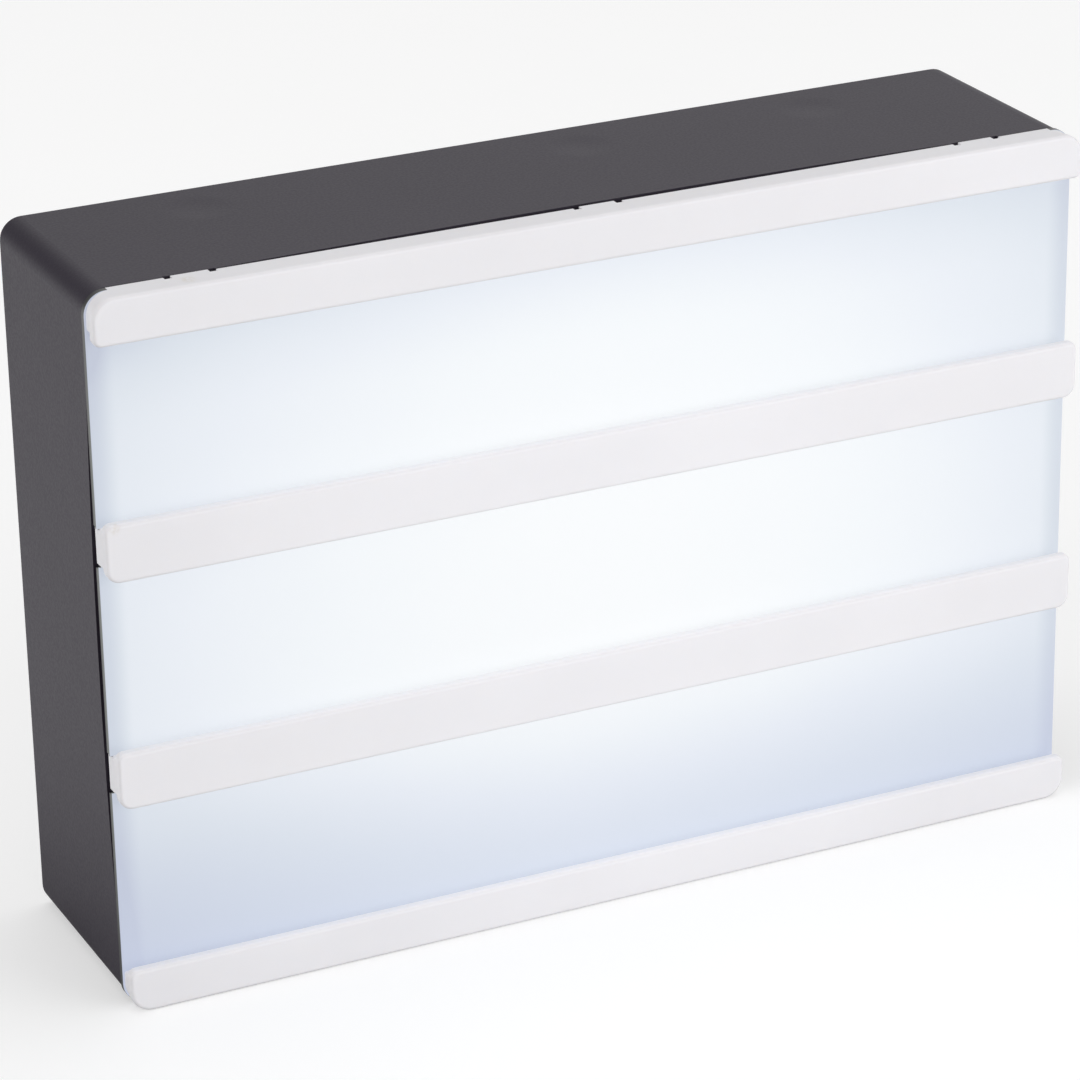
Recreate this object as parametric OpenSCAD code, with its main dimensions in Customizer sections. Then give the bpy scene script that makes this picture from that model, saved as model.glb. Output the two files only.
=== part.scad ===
// Cinema light box: a small battery-lit letter board.
// Millimetres, +Z up, the front faces -Y. The origin is under the middle of
// the box, on the surface that it stands on.

/* [Box] */
// Width of the housing, side to side
box_w = 150.2; // [148:0.1:160]
// Height of the housing
box_h = 105.3; // [104:0.1:110]
// Depth, from the faces of the letter rails to the back
box_d = 38; // [38:0.5:42]
// Radius of the four edges that run from front to back
corner_r = 3.2; // [2.6:0.2:3.8]
// Radius of the edge around the back face
back_edge_r = 0.6; // [0.4:0.1:1.2]
// Top, bottom and side walls of the housing
side_wall = 1.8; // [1.6:0.1:2]
// Back wall of the housing
back_wall = 2; // [1.8:0.1:2.4]

/* [Letter rails] */
// How far the rails stand in front of the diffuser
rail_proud = 3.4; // [3:0.1:4]
// Thickness of the lip that holds the letter cards
lip_t = 1.4; // [1.2:0.1:1.6]
// How far a lip reaches past its stem
lip_over = 1.35; // [1:0.05:1.5]
// Height of the two middle rails
mid_rail_h = 8.5; // [7.6:0.1:9]
// Height of the bottom rail
bottom_rail_h = 6.6; // [6:0.2:7.4]
// Height of the top rail
top_rail_h = 6.7; // [5.8:0.1:7]
// Middle of the lower rail above the base
lower_rail_z = 35.6; // [34:0.1:37]
// Middle of the upper rail above the base
upper_rail_z = 69.2; // [68:0.1:71]
// Radius of the edge around each rail's face
lip_edge_r = 0.6; // [0.3:0.1:1]

/* [Front panel] */
// How far the diffuser's face stands in front of the housing's rim
panel_proud = 1.2; // [1:0.1:1.6]
// Thickness of the panel at its edge, in front of the rim
panel_edge_t = 1; // [0.6:0.1:1.2]
// How far the panel and the rails' lips stand out past the housing's sides
side_over = 0.3; // [0:0.05:0.4]
// Thickness of the diffuser
panel_t = 1.6; // [1.4:0.1:2]
// Width of each snap tab of the rails
tab_w = 5.3; // [4.5:0.1:5.4]
// Slit on each side of a snap tab at the top and bottom
tab_slit = 1.1; // [0.4:0.1:1.2]
// Slit on each side of a snap tab at a rail's end
end_slit = 0.4; // [0.3:0.1:0.8]
// Distance of the outer snap tabs from the middle
tab_x = 60; // [55:0.5:62]
// Shadow gap between housing and panel, at the middle of the sides
gap_side = 2; // [1:0.1:2.2]
// Shadow gap at the middle of the top and of the bottom
gap_top = 1; // [0.6:0.1:1.5]

/* [Battery bay] */
// Diameter of a cell
cell_d = 14.5; // [14:0.1:14.5]
// Length of a cell with its button
cell_l = 50.5; // [50:0.1:50.5]
// Distance between neighbouring cells
cell_pitch = 15.2; // [15.1:0.1:15.3]
// Thickness of the battery door
door_t = 1.7; // [1.5:0.1:1.7]

/* [Switch] */
// Sideways place of the slide switch
switch_x = 52; // [50:1:54]
// Height of the slide switch
switch_z = 31; // [28:1:36]
// Travel of its knob
switch_travel = 3.6; // [3:0.2:3.8]

/* [Wall hanging] */
// Distance between the two keyholes
keyhole_pitch = 100; // [90:5:104]
// Radius of the round entry that takes the head of a screw
keyhole_r = 3.5; // [3:0.1:3.8]
// Half width of the slot that the screw hangs in
keyhole_slot_r = 1.8; // [1.5:0.1:2]
// Height of the entries above the base
keyhole_z = 84; // [82:1:86]

/* [Light] */
// Number of light-emitting diodes
led_count = 6; // [4:1:7]
// Distance between them
led_pitch = 18; // [10:1:18]
// Side of a diode's square body
led_size = 5; // [3:0.5:5]

/* [Hidden] */
$fn = 48;

black = "#2c2b2e";
rail_white = "#ece9e8";
opal = "#e6eef5";
steel = "#c8c9c8";

// Planes across the depth, front to back
front_y = -box_d / 2;
lip_back_y = front_y + lip_t;
face_y = front_y + rail_proud;
rim_y = face_y + panel_proud;
panel_back_y = face_y + panel_t;
back_y = box_d / 2;
back_in_y = back_y - back_wall;
overlap = 0.05;  // how far joined shapes run into each other

// Front panel and rails
front_x = box_w / 2 + side_over;         // sides of the panel and of the lips
panel_edge_r = 0.2;
panel_edge_y = face_y + panel_edge_t;    // back of the panel's edge and of the caps
cap_t = 0.9;                             // caps of the outer rails on the panel's edge
cap_x = box_w / 2 - corner_r;
skirt_gap = 0.15;                        // skirt to housing wall
skirt_t = 1.2;
skirt_out = side_wall + skirt_gap;       // outside of the skirt, from the outline
skirt_in = skirt_out + skirt_t;
skirt_end_y = panel_back_y + 3;
tab_back_y = rim_y + 0.15;
slit_front_y = face_y + 0.35;
slit_back_y = rim_y + 0.3;               // floor of the notches and slits in the rim
slit_d = 1.2;                            // depth of the slits beside a tab
tab_gap = 0.15;                          // tab to panel
gap_d = 0.8;                             // depth of the shadow gap
gap_from_ends = 7;                       // where it begins on the sides
gap_from_sides = 15;                     // where it begins on the top and bottom
hook_end_y = skirt_end_y + 2.8;
hook_h = 0.7;
edge_peg_z = 2.9;                        // pegs of the outer rails, from the outline
peg_r = 0.75;
peg_hole_r = 0.8;
peg_l = 1.1;
peg_x = [-60, -30, 0, 30, 60];            // pegs of the middle rails
edge_peg_x = [-45, -15, 15, 45];         // pegs of the top and bottom rails

// Battery bay: three cells lie side by side, one above the other
cell_r = cell_d / 2;
contact_t = 0.4;
contact_h = 0.8;                         // height of a contact's pip
spring_l = 4.9;                          // a spring under load
bay_w = cell_l + spring_l + 2 * contact_t + contact_h;
bay_h = 3 * cell_pitch + 0.4;
bay_z = 6.5;                             // inside of the bay's bottom
bay_wall = 1.5;
bay_floor_y = back_in_y - 15.8;
cell_y = bay_floor_y + cell_r + 0.05;
cell_z = [for (i = [2:-1:0]) bay_z + 0.2 + cell_pitch * (i + 0.5)];
button_x = bay_w / 2 - contact_t - contact_h;   // tip of a cell's button

// Battery door: it swings out about its round bottom edge
door_gap = 0.3;
door_in_y = back_y - door_t;
hinge_y = back_y - door_t / 2;
hinge_z = bay_z + 1.4;
door_w = bay_w + 1.4;
door_top = bay_z + bay_h + 3.9;
opening_z = hinge_z - door_t / 2 - door_gap;
tongue_x = 18;
latch_w = 10;
latch_z = bay_z + bay_h + 1.7;

// Reflector tray
tray_t = 1.2;
tray_front_y = skirt_end_y + 0.4;
tray_low_y = bay_floor_y - bay_wall - 0.4;   // back of its floor over the bay
tray_high_y = back_in_y - 3.8;               // back of its floor above the bay
tray_edge = skirt_in + 0.25;
ramp_z = bay_z + bay_h + 3;
ramp_h = 8;
board_face_y = tray_high_y - tray_t;

// Light board
board_z = 71;
board_w = 2 * 54;
board_h = 10;
board_t = 1;
board_screw_x = 50.5;
pad_x = 52.5;
pad_dz = 3.5;
wire_hole = [58, board_z];

// Screws
screw_r = 0.9;
pilot_r = 0.95;
head_r = 1.9;
head_h = 1.3;
post_r = 3;
post_x = 65;
low_post_z = 10;
high_post_z = 95;
wire_r = 0.7;

// ---------------------------------------------------------------- helpers

// Outline in the XZ plane, with radius r_low on its two lower corners and
// r_up on its two upper ones
module outline(x0, x1, z0, z1, r_low, r_up) {
    translate([x0, z0 + r_low]) square([x1 - x0, z1 - z0 - r_low - r_up]);
    translate([x0 + r_low, z0]) square([x1 - x0 - 2 * r_low, z1 - z0 - r_up]);
    translate([x0 + r_up, z0 + r_low]) square([x1 - x0 - 2 * r_up, z1 - z0 - r_low]);
    translate([x1 - r_up, z1 - r_up]) quarter(r_up);
    translate([x0 + r_up, z1 - r_up]) rotate(90) quarter(r_up);
    translate([x0 + r_low, z0 + r_low]) rotate(180) quarter(r_low);
    translate([x1 - r_low, z0 + r_low]) rotate(270) quarter(r_low);
}

// A drawing in the XZ plane, extruded from y0 to y1
module along_y(y0, y1) {
    translate([0, y1, 0]) rotate([90, 0, 0]) linear_extrude(y1 - y0) children();
}

// A drawing in the YZ plane, extruded from x0 to x1
module along_x(x0, x1) {
    translate([x0, 0, 0]) rotate([90, 0, 90]) linear_extrude(x1 - x0) children();
}

// A round bar or bore along Y
module rod_y(x, z, r, y0, y1) {
    translate([x, y1, z]) rotate([90, 0, 0]) cylinder(r = r, h = y1 - y0);
}

// A block from its lowest to its highest corner
module block(low, high) {
    translate(low) cube(high - low);
}

// The round quarter of an edge: a quarter disc in the corner of two faces
module quarter(r) {
    intersection() {
        circle(r);
        square(r);
    }
}

// A quarter of a disc with a round upper edge, for the corner of a slab
module soft_corner(flat_r, edge_r) {
    rotate_extrude(angle = 90) {
        square([flat_r, edge_r]);
        translate([flat_r, 0]) quarter(edge_r);
    }
}

// A slab whose face at y0 has an edge of radius e all round
module soft_slab(x0, x1, z0, z1, r_low, r_up, y0, y1, e) {
    along_y(y0 + e, y1) outline(x0, x1, z0, z1, r_low, r_up);
    along_y(y0, y1) outline(x0 + e, x1 - e, z0 + e, z1 - e, r_low - e, r_up - e);
    translate([0, y0 + e, z0 + e]) along_x(x0 + r_low, x1 - r_low) rotate(180) quarter(e);
    translate([0, y0 + e, z1 - e]) along_x(x0 + r_up, x1 - r_up) rotate(90) quarter(e);
    for (side = [0, 1]) {
        translate([side ? x1 - e : x0 + e, y0 + e, z0 + r_low])
            linear_extrude(z1 - z0 - r_low - r_up) rotate(side ? -90 : 180) quarter(e);
        translate([side ? x1 - r_low : x0 + r_low, y0 + e, z0 + r_low])
            rotate([90, 0, 0]) rotate(side ? 270 : 180) soft_corner(r_low - e, e);
        translate([side ? x1 - r_up : x0 + r_up, y0 + e, z1 - r_up])
            rotate([90, 0, 0]) rotate(side ? 0 : 90) soft_corner(r_up - e, e);
    }
}

// Children, drawn with +Z out of the box and X along its edge, at the three
// snap tabs of the top, at those of the bottom, or at both ends of a rail
module at_top_tabs() {
    for (x = [-tab_x, 0, tab_x]) translate([x, 0, box_h]) children();
}

module at_bottom_tabs() {
    for (x = [-tab_x, 0, tab_x]) translate([x, 0, 0]) rotate([0, 180, 0]) children();
}

module at_end_tabs(z) {
    for (side = [-1, 1])
        translate([side * box_w / 2, 0, z]) rotate([0, side * 90, 0]) children();
}

module at_outer_tabs() {
    at_top_tabs() children();
    at_bottom_tabs() children();
}

module at_middle_tabs() {
    at_end_tabs(lower_rail_z) children();
    at_end_tabs(upper_rail_z) children();
}

module at_tabs() {
    at_outer_tabs() children();
    at_middle_tabs() children();
}

// Slits beside all the snap tabs, through the panel's edge into the rim
module slits() {
    at_outer_tabs() slit_pair(tab_slit);
    at_middle_tabs() slit_pair(end_slit);
}

module slit_pair(w) {
    block([-tab_w / 2 - w, slit_front_y, -slit_d], [tab_w / 2 + w, slit_back_y, 1]);
}

// The places of the four tray screws, from the left, at the given height
module at_posts(z) {
    for (x = [-post_x, post_x]) translate([x, 0, z]) children();
}

// A pan-head screw along Y: its head's underside at y, its point towards +Y
module screw(y, l) {
    translate([0, y, 0]) rotate([90, 0, 0]) difference() {
        union() {
            cylinder(r = head_r, h = head_h - 0.4);
            translate([0, 0, head_h - 0.4]) cylinder(r1 = head_r, r2 = head_r - 0.5, h = 0.4);
        }
        for (turn = [0, 90]) rotate(turn)
            translate([-1.2, -0.2, head_h - 0.7]) cube([2.4, 0.4, 1]);
    }
    rod_y(0, 0, screw_r, y - overlap, y + l);
}

// ---------------------------------------------------------------- housing

// Keyhole: a round entry with a slot above it
module keyhole_outline() {
    circle(keyhole_r);
    translate([-keyhole_slot_r, 0]) square([2 * keyhole_slot_r, 6.5]);
    translate([0, 6.5]) circle(keyhole_slot_r);
}

// Back edge of the shadow gap from a to b along one side, as [place, distance
// behind the rim]: the rim is bowed, so the gap is widest at the middle
function bowed(a, b, middle) = [for (i = [0:10]) let (t = i / 5 - 1)
    [(a + b + t * (b - a)) / 2, middle * (1 - t * t)]];

// Shadow gap between rim and panel: behind it, the rim is left as a tongue
module rim_gap() {
    side_gap = bowed(gap_from_ends, box_h - gap_from_ends, gap_side);
    top_gap = bowed(-box_w / 2 + gap_from_sides, box_w / 2 - gap_from_sides, gap_top);
    difference() {
        union() {
            along_x(-box_w / 2 - 1, box_w / 2 + 1)
                polygon([[rim_y - 1, side_gap[0][0]], each [for (p = side_gap) [rim_y + p[1], p[0]]],
                    [rim_y - 1, side_gap[10][0]]]);
            translate([0, 0, -1]) linear_extrude(box_h + 2)
                polygon([[top_gap[0][0], rim_y - 1], each [for (p = top_gap) [p[0], rim_y + p[1]]],
                    [top_gap[10][0], rim_y - 1]]);
        }
        along_y(rim_y - 2, rim_y + 3)
            outline(-box_w / 2 + gap_d, box_w / 2 - gap_d, gap_d, box_h - gap_d,
                corner_r - gap_d, corner_r - gap_d);
    }
}

// The housing's outside, with its round edge at the back
module housing_skin() {
    mirror([0, 1, 0]) soft_slab(-box_w / 2, box_w / 2, 0, box_h, corner_r, corner_r,
        -back_y, -rim_y, back_edge_r);
}

module housing_solids() {
    difference() {
        housing_skin();
        along_y(rim_y - 1, back_in_y)
            outline(-box_w / 2 + side_wall, box_w / 2 - side_wall, side_wall,
                box_h - side_wall, corner_r - side_wall, corner_r - side_wall);
    }
    // Walls of the battery bay, and the deeper block that takes the latch
    block([-bay_w / 2 - bay_wall, bay_floor_y - bay_wall, bay_z - bay_wall],
        [bay_w / 2 + bay_wall, back_in_y + overlap, bay_z + bay_h + bay_wall]);
    block([-bay_w / 2 - bay_wall, back_in_y - 6.6, bay_z + bay_h],
        [bay_w / 2 + bay_wall, back_in_y + overlap, door_top + 1.8]);
    // Posts of the reflector tray: two long ones below, two short ones above
    at_posts(low_post_z) rod_y(0, 0, post_r, tray_low_y, back_in_y + overlap);
    at_posts(high_post_z) rod_y(0, 0, post_r, tray_high_y, back_in_y + overlap);
    // Posts that the light board is screwed to through the tray
    for (x = [-board_screw_x, board_screw_x])
        rod_y(x, board_z, 2.5, tray_high_y, back_in_y + overlap);
    // Posts of the slide switch
    for (x = [-9, 9]) rod_y(switch_x + x, switch_z, 2, back_in_y - 1.2, back_in_y + overlap);
    // Closed pockets behind the keyholes
    for (x = [-0.5, 0.5] * keyhole_pitch)
        block([x - 5.5, tray_high_y + 0.2, keyhole_z - 5],
            [x + 5.5, back_in_y + overlap, keyhole_z + 10]);
    // Locating ribs under the top wall
    for (x = [-49, 9.5, 47])
        block([x - 0.9, 4, box_h - side_wall - 1.4], [x + 0.9, 16, box_h - side_wall + overlap]);
}

module housing_cuts() {
    // Inside of the bay, and the opening that the door closes
    block([-bay_w / 2, bay_floor_y, bay_z], [bay_w / 2, back_in_y + overlap, bay_z + bay_h]);
    along_y(back_in_y, back_y + 1)
        outline(-door_w / 2 - door_gap, door_w / 2 + door_gap, opening_z,
            door_top + door_gap, 0.3, 1.3);
    // Pocket of the latch, and its catch
    block([-latch_w / 2 - 1, back_in_y - 4.6, latch_z - 0.8],
        [latch_w / 2 + 1, back_in_y - 1.4, door_top + 0.5]);
    block([-latch_w / 2 - 1, back_in_y - 1.5, latch_z - 0.8],
        [latch_w / 2 + 1, back_in_y + overlap, door_top - 0.4]);
    // Ways for the two tongues of the door
    for (x = [-tongue_x, tongue_x])
        block([x - 4, back_in_y - 2.8, bay_z - bay_wall - overlap], [x + 4, back_in_y, bay_z + overlap]);
    // Slots for the solder tags of the two end contacts
    for (end = [[-1, 0], [1, 2]])
        translate([end[0] * (bay_w + bay_wall) / 2, cell_y, cell_z[end[1]]])
            cube([bay_wall + 0.4, 1, 3.4], center = true);
    // Keyholes and the space behind them
    for (x = [-0.5, 0.5] * keyhole_pitch) {
        translate([x, 0, keyhole_z]) along_y(back_in_y - 0.1, back_y + 1) keyhole_outline();
        block([x - 4.5, tray_high_y + 1.2, keyhole_z - 4], [x + 4.5, back_in_y, keyhole_z + 9]);
    }
    // Recess of the switch knob, its window and the marks at its two ends
    along_y(back_y - 1, back_y + 1)
        outline(switch_x - 8.5, switch_x + 8.5, switch_z - 4.2, switch_z + 4.2, 1, 1);
    block([switch_x - switch_travel / 2 - 2.3, back_in_y - 1, switch_z - 2.3],
        [switch_x + switch_travel / 2 + 2.3, back_y, switch_z + 2.3]);
    block([switch_x + 10.7, back_y - 0.3, switch_z - 1.8], [switch_x + 11.3, back_y + 1, switch_z + 1.8]);
    difference() {
        rod_y(switch_x - 12, switch_z, 1.8, back_y - 0.3, back_y + 1);
        rod_y(switch_x - 12, switch_z, 1.2, back_y - 0.4, back_y + 2);
    }
    // Pilot bores of the screws
    at_posts(low_post_z) rod_y(0, 0, pilot_r, tray_low_y - 1, tray_low_y + 8);
    at_posts(high_post_z) rod_y(0, 0, pilot_r, tray_high_y - 1, back_in_y - 0.2);
    for (x = [-board_screw_x, board_screw_x])
        rod_y(x, board_z, pilot_r, tray_high_y - 1, back_in_y - 0.2);
    for (x = [-9, 9])
        rod_y(switch_x + x, switch_z, pilot_r, back_in_y - 2, back_in_y + 0.7);
    rim_gap();
    // Rim notches and catches of the snap tabs
    slits();
    at_tabs() {
        block([-tab_w / 2 - tab_gap, rim_y - 1, -side_wall - 0.1],
            [tab_w / 2 + tab_gap, slit_back_y, 1]);
        block([-tab_w / 2 - 0.4, skirt_end_y + 0.6, -side_wall - 0.1],
            [tab_w / 2 + 0.4, hook_end_y + 0.1, -side_wall + 0.8]);
    }
}

module rear_housing() {
    color(black) difference() {
        housing_solids();
        housing_cuts();
    }
}

// ---------------------------------------------------------------- front

// Opal panel: a diffuser plate with a skirt behind it, cut out for the rails'
// snap tabs and drilled for their pegs
module front_panel() {
    color(opal) difference() {
        union() {
            soft_slab(-front_x, front_x, 0, box_h, corner_r, corner_r, face_y, panel_edge_y,
                panel_edge_r);
            difference() {
                along_y(panel_edge_y - overlap, skirt_end_y)
                    outline(-box_w / 2 + skirt_out, box_w / 2 - skirt_out, skirt_out,
                        box_h - skirt_out, corner_r - skirt_out, corner_r - skirt_out);
                along_y(panel_back_y, skirt_end_y + 1)
                    outline(-box_w / 2 + skirt_in, box_w / 2 - skirt_in, skirt_in,
                        box_h - skirt_in, 0.4, 0.4);
            }
        }
        at_tabs() block([-tab_w / 2 - tab_gap, face_y - 1, -skirt_in - tab_gap],
            [tab_w / 2 + tab_gap, skirt_end_y + 1, 1]);
        slits();
        for (z = [-1, box_h - cap_t])
            block([-cap_x - overlap, face_y - 1, z], [cap_x + overlap, rim_y, z + cap_t + 1]);
        for (x = edge_peg_x, z = [edge_peg_z, box_h - edge_peg_z]) peg_hole(x, z);
        for (x = peg_x, z = [lower_rail_z, upper_rail_z]) peg_hole(x, z);
    }
}

module peg_hole(x, z) {
    rod_y(x, z, peg_hole_r, face_y - 1, face_y + peg_l + 0.1);
}

// One snap tab of a rail: the block that ends in the rim notch, and the tongue
// with its barb
module snap_tab() {
    block([-tab_w / 2, face_y - 0.3, -skirt_in], [tab_w / 2, tab_back_y, 0]);
    block([-tab_w / 2, tab_back_y - overlap, -skirt_in], [tab_w / 2, hook_end_y, -skirt_out]);
    along_x(-tab_w / 2, tab_w / 2)
        polygon([[skirt_end_y + 0.8, -skirt_out - overlap], [skirt_end_y + 1, -skirt_out + hook_h],
            [skirt_end_y + 1.4, -skirt_out + hook_h], [hook_end_y, -skirt_out - overlap]]);
}

// Strip behind the stem of an outer rail, which covers the panel's edge and is
// slit beside each tab
module cap(z0) {
    difference() {
        block([-cap_x, face_y - overlap, z0], [cap_x, panel_edge_y, z0 + cap_t]);
        slits();
    }
}

// A letter rail of T section: a lip on a stem, with pegs into the panel
module rail(z0, z1, stem_z0, stem_z1, r_low, r_up, pegs, peg_z) {
    stem_r_low = stem_z0 == z0 ? r_low : 0.5;
    stem_r_up = stem_z1 == z1 ? r_up : 0.5;
    soft_slab(-front_x, front_x, z0, z1, r_low, r_up, front_y, lip_back_y, lip_edge_r);
    along_y(lip_back_y - 0.2, face_y)
        outline(-box_w / 2, box_w / 2, stem_z0, stem_z1, stem_r_low, stem_r_up);
    for (x = pegs) rod_y(x, peg_z, peg_r, face_y - 0.5, face_y + peg_l);
}

module middle_rail(z) {
    color(rail_white) {
        rail(z - mid_rail_h / 2, z + mid_rail_h / 2, z - mid_rail_h / 2 + lip_over,
            z + mid_rail_h / 2 - lip_over, 2, 1.1, peg_x, z);
        at_end_tabs(z) snap_tab();
    }
}

module top_rail() {
    color(rail_white) {
        rail(box_h - top_rail_h, box_h, box_h - top_rail_h + lip_over, box_h, 1.2, corner_r,
            edge_peg_x, box_h - edge_peg_z);
        cap(box_h - cap_t);
        at_top_tabs() snap_tab();
    }
}

module bottom_rail() {
    color(rail_white) {
        rail(0, bottom_rail_h, 0, bottom_rail_h - lip_over, corner_r, 1.1, edge_peg_x,
            edge_peg_z);
        cap(0);
        at_bottom_tabs() snap_tab();
    }
}

// ---------------------------------------------------------------- light

// Side view of the tray, drawn t inside its outer form: deep above the
// battery bay and shallow in front of it
module tray_profile(t, front) {
    polygon([[front, tray_edge + t], [tray_low_y - t, tray_edge + t],
        [tray_low_y - t, ramp_z + 0.4 * t], [tray_high_y - t, ramp_z + ramp_h + 0.4 * t],
        [tray_high_y - t, box_h - tray_edge - t], [front, box_h - tray_edge - t]]);
}

module reflector_tray() {
    wide = box_w / 2 - tray_edge;
    color("white") difference() {
        along_x(-wide, wide) tray_profile(0, tray_front_y);
        along_x(-wide + tray_t, wide - tray_t) tray_profile(tray_t, tray_front_y - 1);
        at_posts(low_post_z) rod_y(0, 0, 1.2, tray_low_y - 3, tray_low_y + 1);
        at_posts(high_post_z) rod_y(0, 0, 1.2, tray_high_y - 3, tray_high_y + 1);
        for (x = [-board_screw_x, board_screw_x])
            rod_y(x, board_z, 1.2, tray_high_y - 3, tray_high_y + 1);
        rod_y(wire_hole[0], wire_hole[1], 2.6, tray_high_y - 3, tray_high_y + 1);
    }
}

module led_board() {
    color("#f2f2ee") difference() {
        along_y(board_face_y - board_t, board_face_y)
            outline(-board_w / 2, board_w / 2, board_z - board_h / 2, board_z + board_h / 2, 0.8, 0.8);
        for (x = [-board_screw_x, board_screw_x])
            rod_y(x, board_z, 1.2, board_face_y - board_t - 1, board_face_y + 1);
    }
}

// Square diodes with a round lens recess in their face
module leds() {
    led_t = 1.6;
    y1 = board_face_y - board_t;
    color("#fff3b0") for (i = [0:led_count - 1]) {
        x = (i - (led_count - 1) / 2) * led_pitch;
        difference() {
            block([x - led_size / 2, y1 - led_t, board_z - led_size / 2],
                [x + led_size / 2, y1, board_z + led_size / 2]);
            rod_y(x, board_z, led_size * 0.4, y1 - led_t - 1, y1 - led_t + 0.3);
        }
    }
}

// One chip resistor between each pair of diodes
module resistors() {
    y1 = board_face_y - board_t;
    color("#26262a") for (x = [-2, 0, 2] * led_pitch)
        block([x - 1.6, y1 - 0.6, board_z - 0.8], [x + 1.6, y1, board_z + 0.8]);
}

// ---------------------------------------------------------------- door

// Door with a round hinge edge, two tongues, a latch and inner ribs
module battery_door() {
    color(black) difference() {
        union() {
            along_y(door_in_y, back_y)
                outline(-door_w / 2, door_w / 2, hinge_z + 3, door_top, 1, 1);
            block([-door_w / 2, door_in_y, hinge_z], [door_w / 2, back_y, hinge_z + 5]);
            translate([0, hinge_y, hinge_z]) along_x(-door_w / 2, door_w / 2) circle(door_t / 2);
            for (x = [-tongue_x, tongue_x]) {
                block([x - 3, back_in_y - 1.2, hinge_z - 2.7], [x + 3, back_in_y - 0.3, hinge_z + 1.7]);
                block([x - 3, back_in_y - 1.2, hinge_z + 0.5],
                    [x + 3, door_in_y + overlap, hinge_z + 1.7]);
            }
            block([-latch_w / 2, back_in_y - 4, latch_z], [latch_w / 2, door_in_y + overlap, latch_z + 1.1]);
            along_x(-latch_w / 2, latch_w / 2)
                polygon([[back_in_y - 4, latch_z + 1], [back_in_y - 3.4, latch_z + 1.5],
                    [back_in_y - 2.6, latch_z + 1.5], [back_in_y - 2.4, latch_z + 1]]);
            for (x = [-14, 14])
                block([x - 0.8, door_in_y - 0.8, hinge_z + 4], [x + 0.8, door_in_y + overlap, door_top - 5]);
        }
        // Finger grooves at the latch
        for (i = [0:3])
            block([-8, back_y - 0.5, door_top - 10 + 2 * i], [8, back_y + 1, door_top - 9 + 2 * i]);
    }
}

// ---------------------------------------------------------------- power

// A cell along X; facing is -1 with its button to the left, 1 to the right
module cell(row, facing) {
    can_l = cell_l - 1.2;
    color("#2d5f86")
        translate([facing * (button_x - cell_l), cell_y, cell_z[row]]) rotate([0, facing * 90, 0]) {
            cylinder(r = cell_r, h = can_l);
            translate([0, 0, can_l - overlap]) cylinder(r = cell_r - 1, h = 0.3);
            cylinder(r = 2.75, h = cell_l);
        }
}

// Contact plate at one end of the bay, facing inwards, from z0 to z1
module contact_plate(side, z0, z1) {
    x = side * (bay_w - contact_t) / 2;
    translate([x, cell_y, (z0 + z1) / 2]) cube([contact_t, 10, z1 - z0], center = true);
}

// The pip that a cell's button presses on
module contact_pip(side, row) {
    translate([side * (bay_w / 2 - contact_t + overlap), cell_y, cell_z[row]])
        rotate([0, -side * 90, 0]) cylinder(r1 = 3.4, r2 = 2.2, h = contact_h + overlap);
}

// The solder tag that passes through the bay's wall
module contact_tag(side, row) {
    l = bay_wall + 3;
    translate([side * (bay_w / 2 - contact_t / 2 + l / 2), cell_y, cell_z[row]])
        cube([l + contact_t, 0.5, 2.8], center = true);
}

module positive_contact() {
    color(steel) {
        contact_plate(-1, cell_z[0] - 5.5, cell_z[0] + 5.5);
        contact_pip(-1, 0);
        contact_tag(-1, 0);
    }
}

module negative_contact() {
    color(steel) {
        contact_plate(1, cell_z[2] - 5.5, cell_z[2] + 5.5);
        contact_tag(1, 2);
    }
}

module left_bridge() {
    color(steel) {
        contact_plate(-1, cell_z[2] - 5.5, cell_z[1] + 5.5);
        contact_pip(-1, 2);
    }
}

module right_bridge() {
    color(steel) {
        contact_plate(1, cell_z[1] - 5.5, cell_z[0] + 5.5);
        contact_pip(1, 1);
    }
}

// ------------------------------------------------------- swept round tubes

// Direction of the line through point i of a route
function heading(p, i) =
    let (a = p[max(i - 1, 0)], b = p[min(i + 1, len(p) - 1)]) (b - a) / norm(b - a);

function square_to(v, t) = let (w = v - (v * t) * t) w / norm(w);

// Sideways direction at each point, carried along without twist
function sides_of(p, start) =
    [for (i = 0, s = square_to(start, heading(p, 0)); i < len(p);
        i = i + 1, s = i < len(p) ? square_to(s, heading(p, i)) : s) s];

// Smooth curve through the points of a route, with n steps to each stretch
function smooth(p, n) = concat([for (i = [0:len(p) - 2], k = [0:n - 1])
    let (a = p[max(i - 1, 0)], b = p[i], c = p[i + 1], d = p[min(i + 2, len(p) - 1)], t = k / n)
        0.5 * (2 * b + (c - a) * t + (2 * a - 5 * b + 4 * c - d) * t * t
            + (3 * b - a - 3 * c + d) * t * t * t)], [p[len(p) - 1]]);

// Tube of radius r along a route
module tube(p, r, sides, start) {
    s = sides_of(p, start);
    n = len(p);
    rings = [for (i = [0:n - 1]) let (t = heading(p, i), u = s[i], v = cross(t, u))
        for (k = [0:sides - 1])
            p[i] + r * (cos(360 * k / sides) * u + sin(360 * k / sides) * v)];
    skin = [for (i = [0:n - 2], k = [0:sides - 1])
        let (a = i * sides + k, b = i * sides + (k + 1) % sides)
            each [[a, a + sides, b], [b, a + sides, b + sides]]];
    near_cap = [for (k = [1:sides - 2]) [0, k, k + 1]];
    far_cap = [for (k = [1:sides - 2]) [(n - 1) * sides, (n - 1) * sides + k + 1,
        (n - 1) * sides + k]];
    polyhedron(concat(rings, p), concat(skin, near_cap, far_cap));
}

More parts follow.
